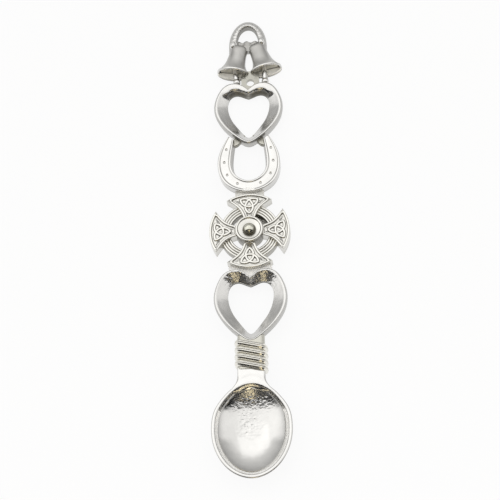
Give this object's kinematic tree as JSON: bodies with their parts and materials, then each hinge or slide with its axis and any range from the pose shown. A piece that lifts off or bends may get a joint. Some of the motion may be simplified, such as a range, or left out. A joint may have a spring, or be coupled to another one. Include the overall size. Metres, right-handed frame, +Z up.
{
  "type": "love spoon",
  "caption": "Cast pewter love spoon with an oval bowl, bound neck, open hearts, ring cross, horseshoe, wedding bells and a hanging loop.",
  "frame": {"origin": "middle of the spoon's bounding box, on the table it lies on", "axes": "lying face up on its bowl's foot and the end of its loop: +X to the right across the spoon, +Y from the bowl's tip towards the hanging loop, +Z up"},
  "size_m": [0.0246, 0.1522, 0.0078],
  "materials": {
    "pewter": "polished, lightly worn"
  },
  "bodies": {
    "root": {"bell_web": "pewter", "binding_post": "pewter", "boss_ball": "pewter", "boss_cup": "pewter", "bowl": "pewter", "cleft_web": "pewter", "cord_wrap_1": "pewter", "cord_wrap_2": "pewter", "cord_wrap_3": "pewter", "cord_wrap_4": "pewter", "cross_arm_bottom": "pewter", "cross_arm_left": "pewter", "cross_arm_right": "pewter", "cross_arm_top": "pewter", "hanging_loop": "pewter", "horseshoe": "pewter", "knot_bottom": "pewter", "knot_left": "pewter", "knot_right": "pewter", "knot_top": "pewter", "left_bell": "pewter", "left_clapper": "pewter", "left_heel_web": "pewter", "lower_heart": "pewter", "neck": "pewter", "right_bell": "pewter", "right_clapper": "pewter", "right_heel_web": "pewter", "ring_bottom_left": "pewter", "ring_bottom_right": "pewter", "ring_top_left": "pewter", "ring_top_right": "pewter", "toe_clip": "pewter", "toe_web": "pewter", "upper_heart": "pewter", "window_web": "pewter"}
  },
  "joints": []
}
